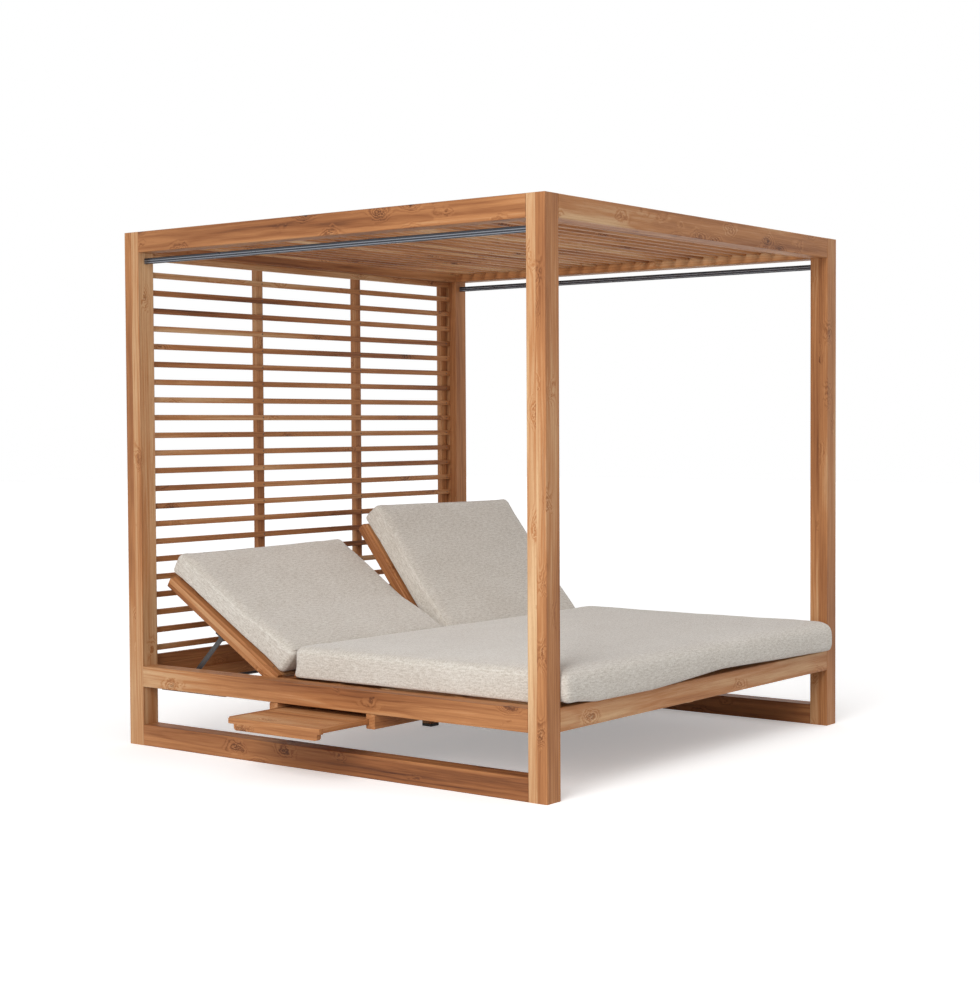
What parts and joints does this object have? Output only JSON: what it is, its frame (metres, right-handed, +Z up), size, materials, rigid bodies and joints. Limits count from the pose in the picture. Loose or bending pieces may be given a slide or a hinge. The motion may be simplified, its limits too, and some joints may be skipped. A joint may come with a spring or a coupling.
{
  "type": "outdoor daybed with canopy",
  "caption": "Wooden four-post outdoor daybed with slatted canopy and head screen, mattress, tilting cushioned backrests on steel props, and sliding side trays.",
  "frame": {"origin": "on the floor, under the middle of the bounding box, which takes in the left tray pulled out and the right tray stowed", "axes": "+X to the right seen from the foot end, +Y towards the head screen, +Z up"},
  "size_m": [2.3322, 2.04, 2],
  "materials": {
    "teak": "oiled, satin",
    "fabric": "plain woven, matt",
    "grey_steel": "satin grey",
    "aluminium": "brushed",
    "black_plastic": "matt"
  },
  "bodies": {
    "frame": {"post_foot_left": "teak", "post_foot_right": "teak", "post_head_left": "teak", "post_head_right": "teak", "top_rail_foot": "teak", "top_rail_head": "teak", "top_rail_left": "teak", "top_rail_right": "teak", "seat_rail_foot": "teak", "seat_rail_head": "teak", "seat_rail_left": "teak", "seat_rail_right": "teak", "floor_rail_left": "teak", "floor_rail_right": "teak", "seat_cross_rail": "teak", "centre_beam_front": "teak", "centre_beam_back": "teak", "centre_leg": "teak", "centre_leg_foot": "black_plastic", "head_ledge": "teak", "seat_deck_left": "teak", "seat_deck_right": "teak", "head_screen": "teak", "canopy_panel_foot": "teak", "canopy_panel_middle": "teak", "canopy_panel_head": "teak", "curtain_track_left": "aluminium", "curtain_track_right": "aluminium", "hinge_pin_left": "grey_steel", "hinge_pin_right": "grey_steel", "hinge_pin_centre": "grey_steel", "hinge_bracket": "grey_steel", "rack_left_outer": "teak", "rack_left_inner": "teak", "rack_right_outer": "teak", "rack_right_inner": "teak", "tray_runner_left_foot": "teak", "tray_runner_left_head": "teak", "tray_runner_right_foot": "teak", "tray_runner_right_head": "teak", "mattress": "fabric"},
    "backrest_left": {"back_stile_left_outer": "teak", "back_stile_left_inner": "teak", "back_slats_left": "teak", "back_cushion_left": "fabric", "prop_bracket_left_outer": "grey_steel", "prop_bracket_left_inner": "grey_steel"},
    "prop_left": {"prop_left": "grey_steel"},
    "tray_left": {"tray_panel_left": "teak", "tray_front_left": "teak"},
    "backrest_right": {"back_stile_right_outer": "teak", "back_stile_right_inner": "teak", "back_slats_right": "teak", "back_cushion_right": "fabric", "prop_bracket_right_outer": "grey_steel", "prop_bracket_right_inner": "grey_steel"},
    "prop_right": {"prop_right": "grey_steel"},
    "tray_right": {"tray_panel_right": "teak", "tray_front_right": "teak"}
  },
  "joints": [
    {"name": "backrest_left_tilt", "type": "hinge", "parent": "frame", "child": "backrest_left", "pos_m": [-0.35665, 0.31, 0.29], "axis": [1, 0, 0], "range_deg": [-31.5, 20.7]},
    {"name": "backrest_right_tilt", "type": "hinge", "parent": "frame", "child": "backrest_right", "pos_m": [0.59435, 0.31, 0.29], "axis": [1, 0, 0], "range_deg": [-52.2, 0]},
    {"name": "prop_left_fold", "type": "hinge", "parent": "backrest_left", "child": "prop_left", "pos_m": [-0.35665, 0.60809, 0.43514], "axis": [1, 0, 0], "range_deg": [-49.5, 75.2]},
    {"name": "prop_right_fold", "type": "hinge", "parent": "backrest_right", "child": "prop_right", "pos_m": [0.59435, 0.53755, 0.53114], "axis": [1, 0, 0], "range_deg": [0, 125]},
    {"name": "tray_left_slide", "type": "slide", "parent": "frame", "child": "tray_left", "axis": [-1, 0, 0], "range_m": [-0.2377, 0.12]},
    {"name": "tray_right_slide", "type": "slide", "parent": "frame", "child": "tray_right", "axis": [1, 0, 0], "range_m": [0, 0.3577]}
  ],
  "couplings": [
    {"joint": "prop_left_fold", "follows": "backrest_left_tilt", "ratio": -2.38},
    {"joint": "prop_right_fold", "follows": "backrest_right_tilt", "ratio": -2.393}
  ]
}
